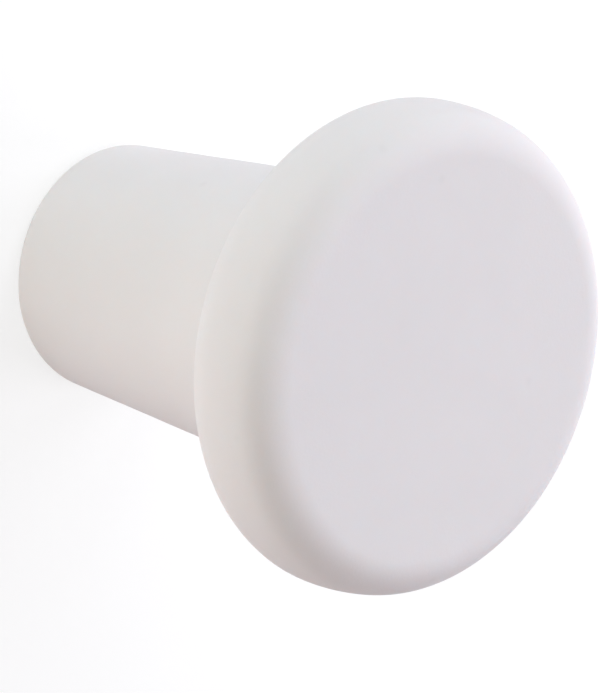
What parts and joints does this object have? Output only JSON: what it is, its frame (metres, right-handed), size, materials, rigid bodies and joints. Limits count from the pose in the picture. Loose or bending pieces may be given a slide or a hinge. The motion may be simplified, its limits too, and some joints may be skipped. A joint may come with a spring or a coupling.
{
  "type": "silicone bottle stopper",
  "caption": "Solid moulded silicone stopper: a round flat-topped head with a soft rim on a tapered plug that pushes into a bottle's mouth.",
  "frame": {"origin": "centre of the plug's flat end, which the stopper stands on", "axes": "+Z along the stopper's axis, from the plug up to the head; X and Y are alike, because the part is a solid of revolution"},
  "size_m": [0.034, 0.034, 0.0355],
  "materials": {
    "silicone": "soft matte white silicone with a very fine moulded grain"
  },
  "bodies": {
    "root": {"stopper": "silicone"}
  },
  "joints": []
}
